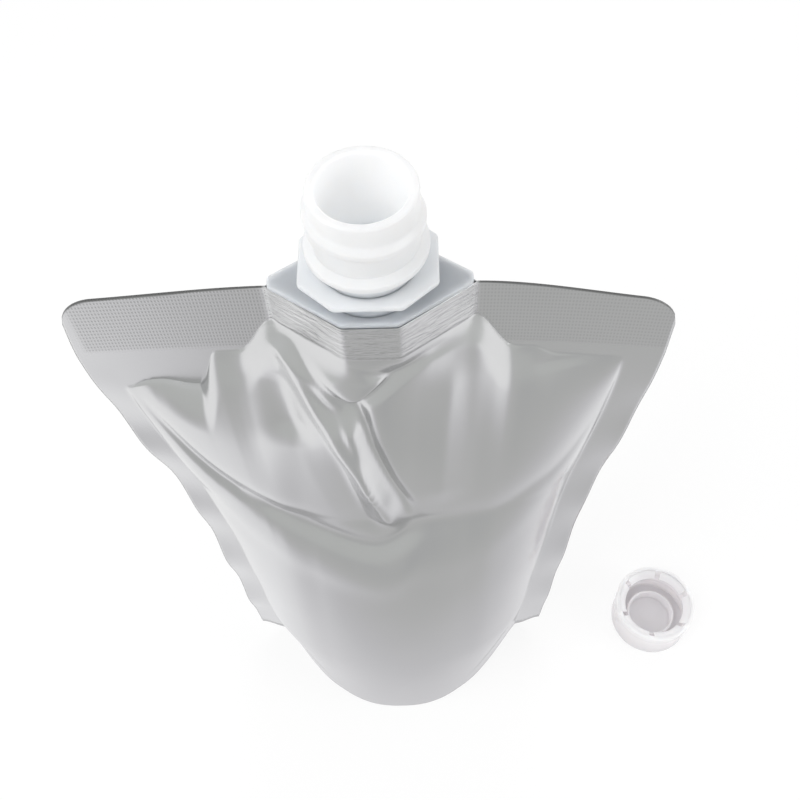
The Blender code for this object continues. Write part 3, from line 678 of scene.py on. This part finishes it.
@dataclass
class FilmBag:
    """The three films of the bag, welded together along their edges."""

    form: BagForm
    finish: Material
    columns: int = 208
    weld_columns: int = 12
    skirt_rows: int = 10
    body_rows: int = 168
    band_rows: int = 48
    gusset_columns: int = 96
    gusset_rows: int = 48
    layer: float = 0.00023
    sharp: float = 50.0

    def column_shares(self) -> Array:
        """Column shares from the left cut edge to the right one."""
        inner = self.columns - 2 * self.weld_columns
        places = np.linspace(-1.0, 1.0, inner + 1)
        cavity = np.sin(places * math.pi / 2) * 0.35 + places * 0.65
        weld = 1 + np.linspace(0, 1, self.weld_columns + 1)[1:]
        return np.concatenate((-weld[::-1], cavity, weld))

    def heights(self, s: Array, row: Array) -> Array:
        """Height of each vertex from its column share and row number."""
        low, band, top = self.form.weld_line(s), self.form.band_line(s), self.form.top_line(s)
        skirt = low * row / self.skirt_rows
        share = np.clip((row - self.skirt_rows) / self.body_rows, 0, 1)
        body = mix(low, band, 1.6 * share - 0.6 * share * share)
        upper = mix(band, top, np.clip((row - self.skirt_rows - self.body_rows)
                                       / self.band_rows, 0, 1))
        in_band = row > self.skirt_rows + self.body_rows
        return np.where(row <= self.skirt_rows, skirt, np.where(in_band, upper, body))

    @staticmethod
    def relax(gap: Array, column: Array, row: Array) -> Array:
        """Even out the film between neighbouring vertices, as its stiffness does.

        Args:
            gap: A value for each vertex.
            column: Column numbers of the vertices.
            row: Row numbers of the vertices.

        Returns:
            The evened values.
        """
        table = np.zeros((row.max() + 1, column.max() + 1))
        table[row, column] = gap
        table[1:-1] = (table[:-2] + 2 * table[1:-1] + table[2:]) / 4
        table[:, 1:-1] = (table[:, :-2] + 2 * table[:, 1:-1] + table[:, 2:]) / 4
        return table[row, column]

    @staticmethod
    def grid(across: int, along: int) -> tuple[BMesh, Array]:
        """Make a flat grid from -1 to 1, and list its vertices' places."""
        mesh = bmesh.new()
        bmesh.ops.create_grid(mesh, x_segments=across, y_segments=along, size=1.0)
        return mesh, np.array([vertex.co[:2] for vertex in mesh.verts])

    def sheet(self, name: str, mesh: BMesh, places: tuple, turned: bool,
              offset: float) -> Object:
        """Bend a flat grid into a thin closed film.

        Args:
            name: The film's name.
            mesh: The grid.
            places: X, Y and Z of its vertices.
            turned: Whether its faces look the other way.
            offset: Side that the film's thickness lies on.

        Returns:
            The film.
        """
        for vertex, place in zip(mesh.verts, np.column_stack(places).tolist()):
            vertex.co = place
        if turned:
            bmesh.ops.reverse_faces(mesh, faces=mesh.faces)
        piece = new_piece(name, mesh, self.finish, self.sharp)
        thicken = piece.modifiers.new("film", "SOLIDIFY")
        thicken.thickness = self.layer
        thicken.offset = offset
        return piece

    def panel(self, side: Panel) -> Object:
        """Build the front or the back film.

        Args:
            side: Which film.

        Returns:
            The film as a thin closed sheet.
        """
        form = self.form
        rows = self.skirt_rows + self.body_rows + self.band_rows
        mesh, flat = self.grid(self.columns, rows)
        column = np.rint((flat[:, 0] + 1) / 2 * self.columns).astype(int)
        row = np.rint((flat[:, 1] + 1) / 2 * rows).astype(int)
        s = self.column_shares()[column]
        z = self.heights(s, row)
        gap = form.half_gap(side, s, z) + form.film
        in_body = row < self.skirt_rows + self.body_rows - 1
        gap = np.where(in_body, self.relax(gap, column, row), gap)
        x, y = form.column_x(s, z), form.middle_y(s, z) + side.value * gap
        notch = form.corner_notch * smooth(np.abs(s) - 1.0)
        z_lifted = z + notch * (1 - np.clip(row / self.skirt_rows, 0, 1))
        piece = self.sheet(f"film_{side.name.lower()}", mesh, (x, y, z_lifted),
                           side is Panel.BACK, -1.0)
        self.paint(piece, s, x, z, row >= rows)
        return piece

    def paint(self, piece: Object, s: Array, x: Array, z: Array,
              top_row: Array) -> None:
        """Mark the embossed wings, the crimped weld round the boat and the top edge for painted
        shade.

        Args:
            piece: The film.
            s: Column shares of its vertices.
            x: Their places across.
            z: Their heights.
            top_row: Which of them lie in the top row.
        """
        form = self.form
        off_boat = smooth((np.abs(x) - form.mouth_half - 0.0005) / 0.001)
        in_band = smooth((z - form.band_bottom - 0.001) / 0.002)
        in_band = in_band * smooth((z - form.band_line(s)) / 0.001)
        side_off = smooth((form.edge_half(z) - np.abs(x) - 0.002) / 0.002)
        marks = {
            "emboss": off_boat * in_band * side_off * np.where(s < 0, 1.0, 0.55),
            "crimp": (1 - off_boat) * smooth((z - form.weld_bottom + 0.0005) / 0.001),
            # Top row of the wings: painted shade that darkens the film's thin edge.
            "edge": np.where(top_row & (off_boat > 0.5), 0.9, 0.0),
        }
        for name, values in marks.items():
            layer = piece.data.attributes.new(name, "FLOAT", "POINT")
            layer.data.foreach_set("value", values.astype(np.float32))

    def gusset(self) -> Object:
        """Build the bottom film: flat on the floor in the middle, arched up to its welds.

        Returns:
            The film as a thin closed sheet.
        """
        form = self.form
        mesh, flat = self.grid(self.gusset_columns, self.gusset_rows)
        s, across = np.sin(flat[:, 0] * math.pi / 2) * 0.999, flat[:, 1]
        height = form.weld_line(s)
        low = height * smooth((np.abs(s) - 0.5) / 0.5)
        curl = np.maximum((np.abs(across) - 0.4) / 0.6, 0.0) ** 2.2
        side_gap = np.where(across < 0, form.half_gap(Panel.FRONT, s, height),
                            form.half_gap(Panel.BACK, s, height))
        x = form.column_x(s, height)
        y = form.middle_y(s, height) + across * side_gap
        z = form.film + (low + (height - low) * curl) * (1 - form.film / height)
        return self.sheet("film_gusset", mesh, (x, y, z), True, 1.0)

    def build(self) -> list[Object]:
        """Build all three films in place of the plain bag.

        Returns:
            The films.
        """
        films = [self.panel(Panel.FRONT), self.panel(Panel.BACK), self.gusset()]
        for film in films:
            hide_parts("pouch")
        return films


@dataclass(frozen=True)
class Thread:
    """A right-handed screw thread as a rounded rib."""

    depth: float
    pitch: float = 0.0050
    turns: float = 1.6
    start: float = 0.0040
    run_out: float = 0.12
    fullness: float = 1.3

    def lift(self, angle: float, below: float) -> float:
        """Height of the rib at a turn angle and a distance from the thread's start edge."""
        best = 0.0
        for lap in range(-1, int(self.turns) + 2):
            run = angle / (2 * math.pi) + lap
            if 0 <= run <= self.turns:
                ends = smooth(run / self.run_out) * smooth((self.turns - run) / self.run_out)
                off = abs(below - self.start - run * self.pitch) / (0.5 * self.pitch)
                best = max(best, ends * smooth(self.fullness * (1 - off)))
        return best * self.depth

    def press(self, wall: list, centre: Vector, radii: tuple, levels: tuple,
              edge: float) -> None:
        """Raise the thread on part of a turned wall, outwards or, on a ring, inwards.

        Args:
            wall: The wall's vertices.
            centre: Foot of its axis.
            radii: Smallest and largest radius of the threaded part.
            levels: Its lowest and highest height.
            edge: Height that the thread's start is measured from.
        """
        side = -1 if radii[1] < math.inf else 1
        for vertex in wall:
            off = vertex.co - centre
            radius = math.hypot(off.x, off.y)
            if radii[0] < radius < radii[1] and levels[0] < off.z < levels[1]:
                angle = math.atan2(off.y, off.x) % (2 * math.pi)
                grown = radius + side * self.lift(angle, abs(off.z - edge))
                vertex.co.x = centre.x + off.x * grown / radius
                vertex.co.y = centre.y + off.y * grown / radius


def spin_profile(mesh: BMesh, profile: list, centre: Vector, steps: int,
                 angle: float = 2 * math.pi, start: float = 0.0) -> list:
    """Turn a closed profile of (radius, height) points round a vertical axis.

    Args:
        mesh: The bmesh that the shape is added to.
        profile: Points of the closed section.
        centre: Foot of the axis.
        steps: How many steps the turn takes.
        angle: How far it turns.
        start: Angle at which it starts.

    Returns:
        The new vertices.
    """
    before = set(mesh.verts)
    turn = Matrix.Rotation(start, 4, "Z")
    points = [mesh.verts.new(centre + turn @ Vector((radius, 0, z))) for radius, z in profile]
    edges = [mesh.edges.new((a, b)) for a, b in zip(points, points[1:] + points[:1])]
    whole = angle >= 2 * math.pi - 1e-6
    geometry = [*points, *edges]
    if not whole:
        geometry.append(mesh.faces.new(points))
    bmesh.ops.spin(mesh, geom=geometry, cent=centre, axis=(0, 0, 1), dvec=(0, 0, 0),
                   angle=angle, steps=steps, use_merge=whole, use_duplicate=False)
    return [vertex for vertex in mesh.verts if vertex not in before]


def arc_points(centre_r: float, centre_z: float, radius: float, low: float, high: float,
               steps: int = 4) -> list:
    """Points of a rounded corner in a turned profile, between two angles in degrees."""
    angles = [math.radians(mix(low, high, step / steps)) for step in range(steps + 1)]
    return [(centre_r + radius * math.cos(a), centre_z + radius * math.sin(a)) for a in angles]


@dataclass
class Spout:
    """The moulded spout: boat, plate, eight-sided flange and threaded neck."""

    finish: Material
    low: Vector
    high: Vector
    bore: float = 0.0102
    root: float = 0.0114
    bead: float = 0.0143
    bead_height: float = 0.0030
    neck: float = 0.0123
    bead_lift: float = 0.0050
    flange_thick: float = 0.0014
    flange_lift: float = 0.0057
    plate_thick: float = 0.0014
    plate_half_depth: float = 0.0135
    plate_flats: tuple = (0.0067, 0.0015)
    boat_height: float = 0.0125
    boat_setback: float = 0.0008
    boat_flats: tuple = (0.0067, 0.0007)
    boat_overlap: float = 0.0004
    flange_half: float = 0.0162
    flange_flats: tuple = (0.0079, 0.0070)
    steps: int = 144
    thread: Thread = Thread(0.0013)

    def eight_sides(self, mesh: BMesh, half: tuple, flats: tuple, levels: tuple,
                    soften: float) -> None:
        """Add an eight-sided plate with a hole that the neck fills.

        Args:
            mesh: The bmesh that the plate is added to.
            half: Half its length and half its depth.
            flats: Half its front flat and half its end flat.
            levels: Its bottom and its top.
            soften: Radius of its edges.
        """
        plate = bmesh.new()
        ring = bmesh.ops.create_circle(plate, cap_ends=True, segments=8, radius=1.0)["verts"]
        (length, depth), (front, end) = half, flats
        corners = ((length, end), (front, depth), (-front, depth), (-length, end),
                   (-length, -end), (-front, -depth), (front, -depth), (length, -end))
        ring.sort(key=lambda vertex: math.atan2(vertex.co.y, vertex.co.x) % (2 * math.pi))
        for vertex, (x, y) in zip(ring, corners):
            vertex.co = (x, y, levels[0])
        top = bmesh.ops.extrude_face_region(plate, geom=list(plate.faces))["geom"]
        lifted = [item for item in top if isinstance(item, bmesh.types.BMVert)]
        bmesh.ops.translate(plate, verts=lifted, vec=(0, 0, levels[1] - levels[0]))
        bmesh.ops.recalc_face_normals(plate, faces=plate.faces)
        for level, offset, segments in ((False, 1.6 * soften, 4), (True, soften, 3)):
            edges = [edge for edge in plate.edges
                     if (abs(edge.verts[0].co.z - edge.verts[1].co.z) < 1e-6) is level
                     and (not level or edge.calc_face_angle(0.0) > 1.0)]
            bmesh.ops.bevel(plate, geom=edges, offset=offset, offset_type="OFFSET",
                            affect="EDGES", segments=segments, profile=0.5, material=-1)
        data = bpy.data.meshes.new("plate")
        plate.to_mesh(data)
        plate.free()
        mesh.from_mesh(data)
        bpy.data.meshes.remove(data)

    def neck_profile(self, bottom: float, bead_bottom: float, mouth: float) -> list:
        """Section of the neck wall, up the outside and down the bore."""
        lip = 0.0006
        rounded = 0.0005
        top = bead_bottom + self.bead_height
        outside = [(self.root, bottom), (self.root, bead_bottom - 0.0009)]
        outside += arc_points(self.bead - rounded, bead_bottom + rounded, rounded, -90, 0)
        outside += arc_points(self.bead - rounded, top - 0.0010 - rounded, rounded, 0, 70)
        outside.append((self.neck + 0.0003, top - 0.0002))
        wall = [(self.neck, mix(top, mouth - lip, step / 56)) for step in range(57)]
        rim = arc_points(self.neck - lip, mouth - lip, lip, 10, 90, 5)
        rim += arc_points(self.bore + lip, mouth - lip, lip, 90, 180, 5)
        inside = [(self.bore, mix(mouth - 2 * lip, bottom, step / 6)) for step in range(7)]
        return outside + wall + rim + inside

    def build(self) -> Object:
        """Build the spout in place of the plain one.

        Returns:
            The spout.
        """
        mouth, bottom = self.high.z, self.low.z
        half_length, plate_bottom = self.high.x, bottom + self.boat_height
        flange_bottom = plate_bottom + self.plate_thick + self.flange_lift
        bead_bottom = flange_bottom + self.flange_thick + self.bead_lift
        mesh = bmesh.new()
        wall = spin_profile(mesh, self.neck_profile(bottom, bead_bottom, mouth), Vector(),
                            self.steps)
        self.thread.press(wall, Vector(), (self.neck - 1e-4, math.inf),
                          (bead_bottom + self.bead_height + 1e-5, mouth - 0.0007), mouth)
        plate_half = (half_length, self.plate_half_depth)
        boat_half = tuple(half - self.boat_setback for half in plate_half)
        self.eight_sides(mesh, boat_half, self.boat_flats,
                         (bottom, plate_bottom + self.boat_overlap), 0.0004)
        self.eight_sides(mesh, plate_half, self.plate_flats,
                         (plate_bottom, plate_bottom + self.plate_thick), 0.0004)
        self.eight_sides(mesh, (self.flange_half, self.high.y), self.flange_flats,
                         (flange_bottom, flange_bottom + self.flange_thick), 0.0005)
        bmesh.ops.recalc_face_normals(mesh, faces=mesh.faces)
        spout = new_piece("spout_moulding", mesh, self.finish, 55.0)
        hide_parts("spout")
        return spout


@dataclass
class Cap:
    """The cap with its plug ring, inside thread and folded tamper band."""

    finish: Material
    low: Vector
    high: Vector
    wall: float = 0.0013
    taper: float = 0.0004
    end: float = 0.0014
    plug: float = 0.0099
    plug_wall: float = 0.0010
    plug_height: float = 0.0052
    band: float = 0.0046
    groove: float = 0.0004
    flap_count: int = 6
    flap_reach: float = 0.0026
    flap_drop: float = 0.0024
    flap_wall: float = 0.0011
    flap_gap: float = math.radians(9.0)
    flap_turn: float = math.radians(17.0)
    steps: int = 144
    thread: Thread = Thread(0.0010, start=0.0034)

    def section(self, inner: float, height: float) -> list:
        """Section of the cap's wall, end and plug ring, from the axis side of the end."""
        outer = inner + self.wall
        foot = outer + self.taper
        band = height - self.band
        top = self.end + self.plug_height
        points = arc_points(outer - 0.0012, 0.0012, 0.0012, -90, 0, 6)
        points += [(outer, band - self.groove), (outer - self.groove, band),
                   (foot, band + self.groove)]
        points += arc_points(foot - 0.0006, height - 0.0006, 0.0006, 0, 90)
        points += arc_points(inner + 0.0004, height - 0.0004, 0.0004, 90, 180)
        points += [(inner, mix(band, self.end + 0.0006, step / 44)) for step in range(45)]
        points += arc_points(inner - 0.0005, self.end + 0.0005, 0.0005, 0, -90)
        points += [(self.plug, self.end), (self.plug, top - 0.0010)]
        points += arc_points(self.plug - 0.0005, top - 0.0005, 0.0005, 0, 180)
        points += [(self.plug - self.plug_wall, self.end + 0.0004),
                   (self.plug - self.plug_wall - 0.0004, self.end), (0.0035, self.end),
                   (0.0030, self.end + 0.0002), (0.0, self.end + 0.0002), (0.0, 0.0)]
        return points

    def flap_section(self, inner: float, height: float) -> list:
        """Section of one flap, folded in from the rim."""
        top = height - 0.0005
        reach = inner - self.flap_reach
        return [(inner + 0.5 * self.wall, top), (inner - 0.0004, top - 0.0001),
                (reach + 0.0003, top - self.flap_drop + 0.0003), (reach, top - self.flap_drop),
                (reach + 0.0001, top - self.flap_drop - 0.8 * self.flap_wall),
                (inner - 0.0008, top - 1.6 * self.flap_wall),
                (inner + 0.5 * self.wall, top - 1.8 * self.flap_wall)]

    def build(self) -> Object:
        """Build the cap in place of the plain one.

        Returns:
            The cap.
        """
        middle = (self.low + self.high) / 2
        centre = Vector((middle.x, middle.y, 0.0))
        height = self.high.z
        inner = (self.high.x - self.low.x) / 2 - self.taper - self.wall
        mesh = bmesh.new()
        wall = spin_profile(mesh, self.section(inner, height), centre, self.steps)
        self.thread.press(wall, centre, (inner - 1e-5, inner + 1e-5),
                          (self.end + 0.0007, height - self.band), 0.0)
        bmesh.ops.remove_doubles(mesh, verts=mesh.verts, dist=1e-6)
        pitch = 2 * math.pi / self.flap_count
        for index in range(self.flap_count):
            spin_profile(mesh, self.flap_section(inner, height), centre, 16,
                         pitch - self.flap_gap, self.flap_turn + index * pitch + self.flap_gap / 2)
        bmesh.ops.recalc_face_normals(mesh, faces=mesh.faces)
        cap = new_piece("cap_moulding", mesh, self.finish, 45.0)
        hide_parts("cap")
        return cap


@dataclass(frozen=True)
class Softbox:
    """A square lamp that points at the pouch."""

    name: str
    place: tuple
    size: float
    power: float
    in_gloss: bool = False


@dataclass
class Studio:
    """White floor and surroundings, soft lamps and the camera."""

    target: tuple = (0.0, 0.0, 0.12)
    floor_size: float = 3.0
    lens: float = 45.0
    sensor: float = 36.0
    place: tuple = (0.0121, -0.1485, 0.4239)
    yaw: float = math.radians(2.59)
    pitch: float = math.radians(58.02)
    roll: float = math.radians(-3.4)
    lamps: tuple = (
        Softbox("key", (-0.45, -0.30, 0.85), 0.50, 3.3),
        Softbox("fill", (0.75, -0.25, 0.55), 0.40, 1.4, True),
        Softbox("back", (0.10, 0.80, 0.70), 0.60, 1.5),
    )
    grey_spot: tuple = (0.045, -0.30)
    grey_reach: tuple = (0.175, 0.26)
    widens_from: float = -0.22
    widening: float = 0.8
    shadow_fade: float = 0.78
    floor_gloss: tuple = (
        (0.0, (0.505, 0.51, 0.51)), (0.25, (0.545, 0.55, 0.54)), (0.47, (0.58, 0.58, 0.575)),
        (0.60, (0.66, 0.655, 0.67)), (0.69, (0.79, 0.785, 0.80)), (0.81, (0.96, 0.96, 0.97)),
        (1.0, (1.0, 1.0, 1.0)))
    sky_gloss: tuple = (
        (0.0, (0.59, 0.60, 0.585)), (0.45, (0.65, 0.66, 0.655)), (0.56, (0.75, 0.76, 0.76)),
        (0.66, (0.96, 0.96, 0.97)), (1.0, (1.0, 1.0, 1.0)))

    def floor(self) -> None:
        """Make the white floor. It greys towards the front in gloss and keeps soft shadows."""
        mesh = bmesh.new()
        bmesh.ops.create_grid(mesh, x_segments=1, y_segments=1, size=self.floor_size / 2)
        data = bpy.data.meshes.new("floor")
        mesh.to_mesh(data)
        mesh.free()
        finish, graph = new_finish("floor")
        coords = graph.add("TexCoord").outputs["Object"]
        x, y, _ = graph.add("SeparateXYZ", Vector=coords).outputs
        aside = graph.math("SUBTRACT", x, self.grey_spot[0])
        forward = graph.math("SUBTRACT", self.widens_from, y)
        wider = graph.math("MULTIPLY_ADD", graph.math("MAXIMUM", forward, 0.0), self.widening,
                           self.grey_reach[0])
        aside = graph.math("DIVIDE", aside, wider)
        near = graph.math("SUBTRACT", y, self.grey_spot[1])
        near = graph.math("MAXIMUM", graph.math("DIVIDE", near, self.grey_reach[1]), 0.0)
        square = graph.math("ADD", graph.math("POWER", aside, 2.0), graph.math("POWER", near, 2.0))
        share = graph.add("MapRange", Value=graph.math("SQRT", square), From_Max=1.6)
        gloss = graph.add("Emission", Color=graph.ramp(share, self.floor_gloss))
        matte = graph.add("BsdfDiffuse", Color=(0.93, 0.93, 0.93, 1.0))
        glow = graph.add("Emission", Color=WHITE, Strength=1.04)
        graph.add("OutputMaterial", Surface=graph.by_ray(matte, glow, gloss, self.shadow_fade))
        data.materials.append(finish)
        new_object("floor", data)

    def world(self) -> None:
        """White surroundings in view, greyer in front in gloss, and even light on everything."""
        world = bpy.data.worlds.new("studio")
        bpy.context.scene.world = world
        world.use_nodes = True
        graph = Graph(world.node_tree)
        direction = graph.add("TexCoord").outputs["Generated"]
        facing = graph.add("SeparateXYZ", Vector=direction).outputs["Y"]
        share = graph.add("MapRange", Value=facing, From_Min=-1.0, From_Max=1.0)
        even = graph.add("Background", Color=WHITE, Strength=0.60)
        white = graph.add("Background", Color=WHITE, Strength=1.0)
        gloss = graph.add("Background", Color=graph.ramp(share, self.sky_gloss))
        graph.add("OutputWorld", Surface=graph.by_ray(even, white, gloss))

    def lamp(self, box: Softbox) -> None:
        """Add one soft lamp."""
        data = bpy.data.lights.new(box.name, "AREA")
        data.size = box.size
        data.energy = box.power
        lamp = new_object(box.name, data)
        lamp.location = box.place
        lamp.visible_glossy = box.in_gloss
        away = Vector(box.place) - Vector(self.target)
        lamp.rotation_mode = "QUATERNION"
        lamp.rotation_quaternion = away.to_track_quat("Z", "Y")

    def camera(self) -> None:
        """Place the camera where the photograph was taken from."""
        turn = Matrix.Rotation(self.yaw, 4, "Z")
        tilt = Matrix.Rotation(math.pi / 2 - self.pitch, 4, "X")
        roll = Matrix.Rotation(self.roll, 4, "Z")
        data = bpy.data.cameras.new("camera")
        data.lens, data.sensor_width = self.lens, self.sensor
        data.clip_start, data.clip_end = 0.01, 20.0
        camera = new_object("camera", data)
        camera.matrix_world = Matrix.Translation(self.place) @ turn @ tilt @ roll
        bpy.context.scene.camera = camera

    def build(self) -> None:
        """Make the whole studio."""
        self.floor()
        self.world()
        for box in self.lamps:
            self.lamp(box)
        self.camera()
        bpy.context.scene.view_settings.view_transform = "Standard"


def main() -> None:
    """Load the frame and build the studio and the pieces in order."""
    logging.basicConfig(level=logging.INFO)
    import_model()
    Studio().build()
    foil = FoilFinish().build()
    # The colour bands are painted shade, darker towards each piece's bottom; the glows are painted
    # light.
    milky = PlasticFinish("milky_polyethylene", (
        (0.0, (0.60, 0.63, 0.67)), (0.33, (0.62, 0.65, 0.69)), (0.46, (0.74, 0.77, 0.80)),
        (0.60, (0.855, 0.86, 0.862)), (1.0, (0.885, 0.885, 0.887))), 0.226, 0.2705,
        scatter=1.0, scatter_depth=0.007, bore_glow=0.12).build()
    white = PlasticFinish("white_polyethylene", (
        (0.0, (0.74, 0.72, 0.735)), (0.7, (0.82, 0.80, 0.815)), (1.0, (0.99, 0.975, 0.985))),
        0.0, 0.018, 0.22, 0.9, 0.004, glow=0.11, bore_glow=0.11).build()
    FilmBag(BagForm(), foil).build()
    spout_low, spout_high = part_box("spout")
    Spout(milky, spout_low, spout_high).build()
    cap_low, cap_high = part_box("cap")
    Cap(white, cap_low, cap_high).build()


if __name__ == "__main__":
    main()
